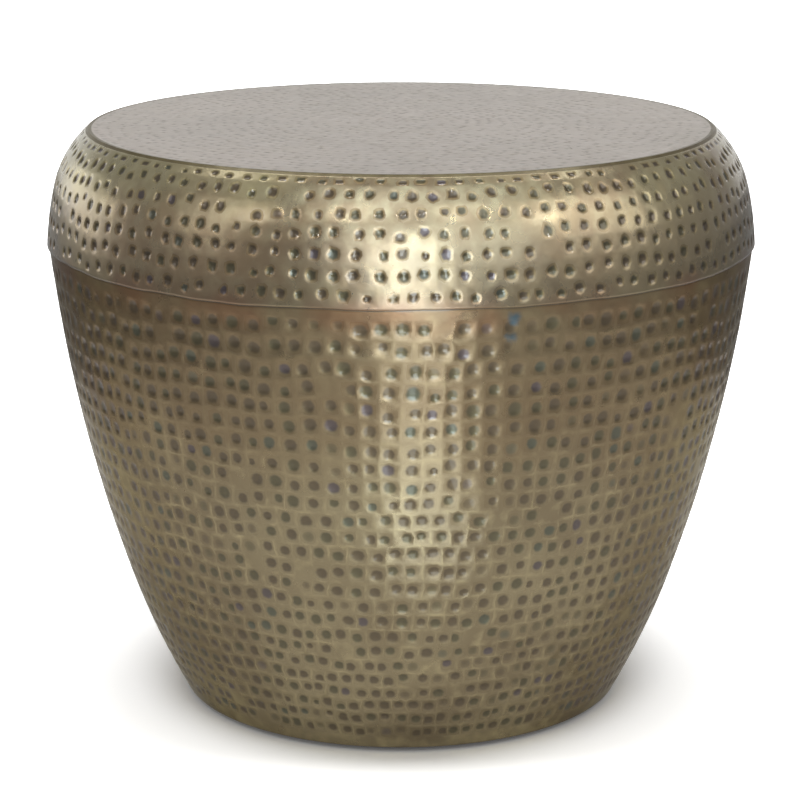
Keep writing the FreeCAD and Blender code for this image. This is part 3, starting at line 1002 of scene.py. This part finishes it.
@dataclass
class DrumShoulder(Shell):
    """The ring that rolls from the seam in to the top."""

    node: str = "shoulder_shell"
    name: str = "hammered_shoulder"
    seed: int = 21
    hammer: Hammer = Hammer(
        width=8.2 * MM, height=8.6 * MM, depth=1.1 * MM, rise=0.0, squareness=2.3, uneven=0.13,
        scatter=0.12, glancing=0.03, missed=0.02, ragged=0.08,
        rings=((1.42, 0.0, 0.0), (1.0, 0.15, 0.28), (0.6, 0.72, 0.9)))
    finish: HammeredBrass = HammeredBrass(
        name="hammered_antique_brass_shoulder", ground="#877e5a", shade="#746243", light="#968d6c",
        rough=0.30, lacquer=0.9, pit_lacquer=0.5, glint=0.08, heat_level=SEAM_LEVEL)
    edge_round: float = 0.35 * MM
    edge_steps: int = 2
    inner_rows: int = 6
    row: float = 13.2 * MM           # height of a row of marks
    rim_row: float = 4.0 * MM        # rise of the low row that is crowded in below the top's edge
    seam_strip: float = 2.2 * MM     # plain metal above the seam's edge
    rim_strip: float = 0.5 * MM      # plain metal below the top's edge
    edge_height: float = 0.6 * MM    # the part that is beaten down on to the body
    edge_shade: float = 0.8           # how dark that part is painted: painted shade along the seam
    seam_reach: float = 14 * MM      # the edge's wandering dies out this far above it

    def lay_out(self, low: float, high: float) -> tuple[WallSheet, list[float]]:
        """The face from the seam up to the top, and the borders of its rows, with the low one at the rim."""
        sheet = WallSheet(self.node, low, high - END_GAP)
        rim = high - self.rim_strip
        return sheet, row_lines(sheet, low + self.seam_strip, rim - self.rim_row, self.row, self.row) + [rim]

    def profile(self, sheet: WallSheet, lines: list[float], low: float, high: float) -> list[Vector]:
        """Corners of the ring's section: up the outside, in along the flange and back down the inside."""
        outside = [Vector((sheet.radius(height), 0, height))
                   for height in [low, low + self.seam_strip / 2] + lines + [high]]
        mouth = sheet.section.inside(high - self.gauge / 2)
        flange = high - self.gauge
        rise = (flange - low) / self.inner_rows
        inside = self.inside(sheet, [min(max(flange - rise * row, low + END_GAP), flange - END_GAP)
                                     for row in range(self.inner_rows + 1)])
        inside[-1].z = low
        return outside + [Vector((mouth, 0, high)), Vector((mouth, 0, flange))] + inside

    def dress_ends(self, bm: BMesh, sheet: WallSheet, low: float) -> None:
        """Let the seam's edge wander, with the metal above it, beat it down on to the body and paint shade on
        it.
        """
        deep = bm.verts.layers.float[HAMMERED]
        radius = sheet.radius(low)
        for vertex in bm.verts:
            rise = vertex.co.z - low
            near = 1 - blend_share(rise, self.edge_height, self.seam_reach)
            vertex.co.z += self.seam.rise(math.atan2(vertex.co.y, vertex.co.x)) * near
            if rise < self.edge_height and vertex.co.xy.length > radius - 1.5 * self.edge_round:
                vertex.co.xy -= vertex.co.xy.normalized() * self.seam.beaten
                # painted shade on the beaten-down edge
                vertex[deep] = self.edge_shade


@dataclass
class DrumTop:
    """The flat top, planished with a small hammer in rings."""

    node: str = "top_panel"
    name: str = "hammered_top"
    seed: int = 32
    pitch: float = 8.6 * MM
    groove: float = 0.35 * MM        # half the strip between two rings of marks
    hub: float = 7.0 * MM            # the middle, inside the first ring
    rim_strip: float = 2.0 * MM
    rim_round: float = 0.12 * MM
    sharp: float = 40.0              # degrees that the metal turns at an edge that shows as one
    hammer: Hammer = Hammer(width=6.4 * MM, height=5.4 * MM, depth=0.24 * MM, rise=0.04 * MM, squareness=2.2,
                            uneven=0.22, scatter=0.22, glancing=0.3, missed=0.12, corners=8)
    finish: HammeredBrass = HammeredBrass(
        name="planished_antique_brass_top", ground="#998d86", shade="#8f847d", light="#a2968e",
        pits=("#665c55", "#645d55", "#676562", "#6b6164"), rough=0.42, lacquer=0.58, pit_lacquer=0.58,
        glint=0.28)
    # the filed rim is kept darker than the shoulder as painted shade, so the light it catches at a glancing
    # angle does not show it as a band
    shaded_edge_finish: HammeredBrass = HammeredBrass(
        name="filed_antique_brass_edge", ground="#5f563c", shade="#544a33", light="#6c6348", rough=0.42)

    def build(self) -> Object:
        """Spin the rings of cells, join them, hammer them and dress the disc."""
        low, high = (corner.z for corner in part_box(self.node))
        section = Section(self.node)
        edge = section.outside(high - 2 * HAIR)
        skirt = section.outside(low + 2 * HAIR)
        sheet = DiscSheet(high)
        rings = round((edge - self.rim_strip - self.hub) / self.pitch)
        width = (edge - self.rim_strip - self.hub) / rings
        borders = [self.hub + width * ring for ring in range(rings + 1)]
        bm = start_shell()
        for start, end in zip(borders, borders[1:]):
            inner, outer = start + self.groove, end - self.groove
            columns = round(FULL_TURN * (inner + outer) / 2 / self.pitch)
            spin(bm, [Vector((inner, 0, high)), Vector((outer, 0, high))], False, 2 * columns)
            lay_cells(bm, sheet, [inner, outer], columns, [0])
        self.join_rings(bm, borders)
        self.close(bm, ((edge - self.rim_round, high), (edge, high - self.rim_round), (skirt, low)))
        count = self.hammer.strike(bm, sheet, borders[0], borders[-1], self.seed)
        piece = keep_mesh(bm, self.name, [self.finish.make(), self.shaded_edge_finish.make()], self.sharp)
        log.info("%s: %d rings, %d marks", piece.name, rings, count)
        return piece

    def join_rings(self, bm: BMesh, borders: list[float]) -> None:
        """Bridge the rings and fill the middle."""
        for border in borders[1:-1]:
            near = [e for e in bm.edges
                    if all(abs(v.co.xy.length - border) < 1.1 * self.groove for v in e.verts) and e.is_boundary]
            bmesh.ops.bridge_loops(bm, edges=near)
        hub = [e for e in bm.edges if e.is_boundary and e.verts[0].co.xy.length < self.hub + 2 * self.groove]
        bmesh.ops.contextual_create(bm, geom=hub)

    def close(self, bm: BMesh, outline: tuple[tuple[float, float], ...]) -> None:
        """Add the filed rim and the underside.

        Args:
            bm: The mesh of joined rings.
            outline: Radius and height of the rim's corners, from the top down.
        """
        rim = [e for e in bm.edges if e.is_boundary]
        for radius, height in outline:
            grown = bmesh.ops.extrude_edge_only(bm, edges=rim)["geom"]
            rim = [item for item in grown if isinstance(item, BMEdge)]
            for item in grown:
                if isinstance(item, BMVert):
                    item.co = (item.co.xy.normalized() * radius).to_3d() + Vector((0, 0, height))
                elif isinstance(item, BMFace):
                    item.material_index = 1
        bmesh.ops.contextual_create(bm, geom=rim)


@dataclass(frozen=True)
class Underside:
    """What is fitted inside the drum and under its foot. The CAD nodes stay, with a finish each."""

    finishes: tuple[tuple[Finish, tuple[str, ...]], ...] = (
        (PlainFinish(name="mill_finish_steel", colour="#7b7a78", second="#5c5b59", metallic=1.0, rough=0.42,
                     cloud=14 * MM, grain=0.8 * MM, dent=0.03 * MM),
         ("foot_hoop", "top_bearer_long", "top_bearer_cross",
          "base_tab_1", "base_tab_2", "base_tab_3", "base_tab_4")),
        (PlainFinish(name="run_brazing_brass", colour="#b08a4e", second="#8a6a3a", metallic=1.0, rough=0.35,
                     cloud=6 * MM, grain=1.5 * MM, dent=0.15 * MM),
         ("lap_braze", "panel_braze")),
        (PlainFinish(name="zinc_plated_steel", colour="#b9bcba", second="#a3a698", metallic=1.0, rough=0.30,
                     cloud=5 * MM, grain=0.5 * MM, dent=0.01 * MM),
         ("tab_nuts", "base_screws", "base_washers", "glide_screws")),
        (PlainFinish(name="moulded_black_polyethylene", colour="#1a1a1a", second="#232323", metallic=0.0,
                     rough=0.55, cloud=8 * MM, grain=0.6 * MM, dent=0.02 * MM),
         ("glide_1", "glide_2", "glide_3", "glide_4")),
        (StainedPlywood(), ("base_board",)),
    )

    def dress(self) -> None:
        """Give every node its finish."""
        for finish, nodes in self.finishes:
            material = finish.make()
            for node in nodes:
                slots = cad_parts[node].data.materials
                slots.clear()
                slots.append(material)
            log.info("%s: %s", finish.name, ", ".join(nodes))


# ---- Studio ------------------------------------------------------------------------------------------
DAYLIGHT = "#e6f5ff"


@dataclass(frozen=True)
class Softbox:
    """A soft lamp: where it stands, its size, its power and what it faces. Its defaults make a small spot."""

    name: str
    place: tuple[float, float, float]
    width: float = 0.12
    height: float = 0.12
    power: float = 3.6
    tint: str = "#ffffff"
    aim: tuple[float, float, float] = (0.0, 0.0, 0.4)

    def build(self, flagged: Collection) -> None:
        """Place the lamp, and flag the floor off from it.

        Args:
            flagged: The collection that keeps its light off the floor.
        """
        lamp = bpy.data.lights.new(self.name, "AREA")
        lamp.shape = "RECTANGLE"
        lamp.size = self.width
        lamp.size_y = self.height
        lamp.energy = self.power
        lamp.color = linear(self.tint)[:3]
        holder = hold(self.name, lamp)
        facing = Vector(self.aim) - Vector(self.place)
        turn = facing.to_track_quat("-Z", "Y").to_matrix().to_4x4()
        holder.matrix_world = Matrix.Translation(self.place) @ turn
        holder.light_linking.receiver_collection = flagged


@dataclass(frozen=True)
class Paper(Finish):
    """White studio paper. To the camera it is brighter than paper, so all but the shadow is white there."""

    colour: str = "#efefef"
    lift: float = 0.05           # glow, to the camera
    sheen: float = 0.25          # glow, in metal and glass
    gain: float = 1.5            # brightness to the camera
    contact: float = 0.0         # how dark the closest shadow is to the camera, as a share
    contact_reach: float = 68 * MM

    def surface(self, tree: NodeTree) -> NodeSocket:
        """Add the paper's own look and its glow, which differ between the camera and the metal."""
        path = add(tree, "LightPath").outputs
        near = add(tree, "AmbientOcclusion", {"Distance": self.contact_reach})
        bright = add(tree, "MapRange", {"Value": near.outputs["AO"], "To Max": self.gain,
                                        "To Min": self.gain * (1 - self.contact)})
        colour = add(tree, "Mix", {FACTOR: path["Is Camera Ray"], FIRST: linear(self.colour),
                                   SECOND: bright.outputs["Result"]}, data_type="RGBA")
        paper = add(tree, "BsdfDiffuse", {"Color": colour.outputs[MIXED]})
        direct = add(tree, "Math", {0: path["Is Camera Ray"], 1: self.lift}, operation="MULTIPLY")
        seen = add(tree, "Math", {0: path["Is Glossy Ray"], 1: path["Is Transmission Ray"]},
                   operation="MAXIMUM")
        strength = add(tree, "Math", {0: seen.outputs[0], 1: self.sheen, 2: direct.outputs[0]},
                       operation="MULTIPLY_ADD")
        glow = add(tree, "Emission", {"Strength": strength.outputs[0]})
        return add(tree, "AddShader", {0: paper.outputs[0], 1: glow.outputs[0]}).outputs[0]


@dataclass(frozen=True)
class Felt(Finish):
    """Grey felt, which has no sheen."""

    colour: str = "#a2a2a2"

    def surface(self, tree: NodeTree) -> NodeSocket:
        """Scatter the light evenly."""
        return add(tree, "BsdfDiffuse", {"Color": linear(self.colour)}).outputs[0]


@dataclass(frozen=True)
class Flag:
    """A grey sheet around the drum that only the metal shows: it gives the wall its darker parts."""

    name: str = "floor_flag"
    inner: float = 0.80
    outer: float = 9.0
    level: float = 4 * MM
    columns: int = 48

    def build(self) -> None:
        """Lay the sheet, with a round hole for the drum."""
        bm = bmesh.new()
        profile = [Vector((radius, 0, self.level)) for radius in (self.inner, self.outer)]
        spin(bm, profile, False, self.columns)
        sheet = keep_mesh(bm, self.name, [Felt("grey_felt").make()])
        sheet.visible_camera = False
        sheet.visible_diffuse = False
        sheet.visible_shadow = False


@dataclass(frozen=True)
class Studio:
    """White floor and backdrop, even surroundings, soft lamps and the camera."""

    eye: tuple[float, float, float] = (-0.74 * MM, -1.875, 0.6866)
    pitch: float = 14.30             # degrees that the camera looks down
    lens: float = 120.4              # millimetres, like the width of its sensor
    sensor: float = 36.0
    floor_reach: float = 14.0
    backdrop_distance: float = 5.6   # beyond the part of the floor that the camera sees
    backdrop_height: float = 4.5
    surroundings: float = 0.60
    ceiling_power: float = 0.9       # each ceiling bank is so far away that it is a sun lamp with a wide disc
    ceiling_spread: float = 13.0     # degrees across
    ceiling_tilt: float = 16.5       # degrees from upright, to the front
    ceiling_turn: float = 54.0       # degrees to the left and right of the front
    lamps: tuple[Softbox, ...] = (
        Softbox("front_strip", (0.10, -2.6, 0.68), 0.66, 1.34, 24.0, DAYLIGHT),
        Softbox("front_window", (0.48, -2.55, 1.32), 3.3, 1.35, 40.0, DAYLIGHT),
        Softbox("front_top", (0.16, -1.40, 2.34), 2.4, 1.3, 18.5, DAYLIGHT),
        Softbox("front_high", (-0.14, -1.45, 2.10), 0.55, 0.80, 3.2, DAYLIGHT),
        Softbox("left_front", (-2.25, -1.15, 1.5), 0.9, 1.6, 6.5),
        Softbox("left_spot", (-1.9, -1.6, 1.9)),
        Softbox("left_front_spot", (-0.7, -2.1, 2.3)),
        Softbox("right_front_spot", (0.8, -2.1, 2.3)),
        Softbox("right_spot", (1.9, -1.6, 1.9)),
        Softbox("overhead_strip", (0.0, 0.25, 2.4), 3.0, 0.22, 20.0, aim=(0.0, 0.1, 0.4)),
        Softbox("near_reflector", (0.05, -0.52, 0.02), 0.14, 0.34, 0.45, DAYLIGHT, (0.05, -0.45, 0.6)),
        Softbox("middle_reflector", (0.115, -0.94, 0.02), 0.28, 0.44, 3.4, DAYLIGHT, (0.115, -0.80, 0.6)),
        Softbox("far_reflector", (0.01, -1.38, 0.02), 0.66, 0.44, 9.0, DAYLIGHT, (0.01, -1.20, 0.6)),
        Softbox("right_bank", (2.28, -1.02, 1.65), 1.8, 1.8, 25.0),
        Softbox("left_rear", (-2.46, 1.54, 0.65), 1.9, 0.8, 11.5),
    )

    def build(self) -> None:
        """Set the stage."""
        floor = self.lay_paper("studio_floor", self.floor_reach, Matrix.Identity(4),
                               Paper("white_paper_floor", contact=0.5))
        upright = Matrix.Translation((0, self.backdrop_distance, 0)) @ Matrix.Rotation(math.pi / 2, 4, "X")
        self.lay_paper("studio_backdrop", self.backdrop_height, upright,
                       Paper("white_paper_backdrop", lift=0.55, sheen=0.55))
        Flag().build()
        self.light_surroundings()
        self.hang_ceiling_banks(self.single_out(floor, "INCLUDE"))
        flagged = self.single_out(floor, "EXCLUDE")
        for lamp in self.lamps:
            lamp.build(flagged)
        self.set_camera()
        bpy.context.scene.view_settings.view_transform = "Standard"
        log.info("studio: %d lamps and two ceiling banks", len(self.lamps))

    def lay_paper(self, name: str, reach: float, turn: Matrix, paper: Paper) -> Object:
        """Lay or hang a square sheet of paper."""
        bm = bmesh.new()
        bmesh.ops.create_grid(bm, x_segments=1, y_segments=1, size=reach, matrix=turn)
        sheet = keep_mesh(bm, name, [paper.make()])
        return sheet

    def single_out(self, floor: Object, state: str) -> Collection:
        """A collection that keeps a lamp's light off the floor, or on the floor alone."""
        chosen = bpy.data.collections.new("floor_" + state.lower())
        chosen.objects.link(floor)
        chosen.collection_objects[0].light_linking.link_state = state
        return chosen

    def light_surroundings(self) -> None:
        """An even grey room around the stage."""
        world = bpy.data.worlds.new("studio_room")
        bpy.context.scene.world = world
        world.use_nodes = True
        world.node_tree.nodes.clear()
        room = add(world.node_tree, "Background", {"Color": linear("#ffffff"), "Strength": self.surroundings})
        add(world.node_tree, "OutputWorld", {"Surface": room.outputs[0]})

    def hang_ceiling_banks(self, floor: Collection) -> None:
        """Hang the two banks overhead, which cast the soft shadow around the foot.

        Args:
            floor: The collection that they light.
        """
        for side in (-1, 1):
            lamp = bpy.data.lights.new("ceiling_bank", "SUN")
            lamp.energy = self.ceiling_power
            lamp.angle = math.radians(self.ceiling_spread)
            holder = hold("ceiling_bank", lamp)
            turn = side * math.radians(self.ceiling_turn)
            holder.rotation_euler = (math.radians(self.ceiling_tilt), 0.0, turn)
            holder.light_linking.receiver_collection = floor

    def set_camera(self) -> None:
        """Stand the camera in front of the drum, above its top."""
        camera = bpy.data.cameras.new("front_camera")
        camera.lens = self.lens
        camera.sensor_width = self.sensor
        holder = hold("front_camera", camera)
        holder.location = self.eye
        holder.rotation_euler = (math.radians(90 - self.pitch), 0.0, 0.0)
        bpy.context.scene.camera = holder


def main() -> None:
    """Build the drum and its studio, in order."""
    logging.basicConfig(level=logging.INFO, format="%(name)s: %(message)s")
    Studio().build()
    for maker in (DrumBody(), DrumShoulder(), DrumTop()):
        piece = maker.build()
        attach(piece, "root")
        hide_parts(maker.node)
    Underside().dress()


if __name__ == "__main__":
    main()
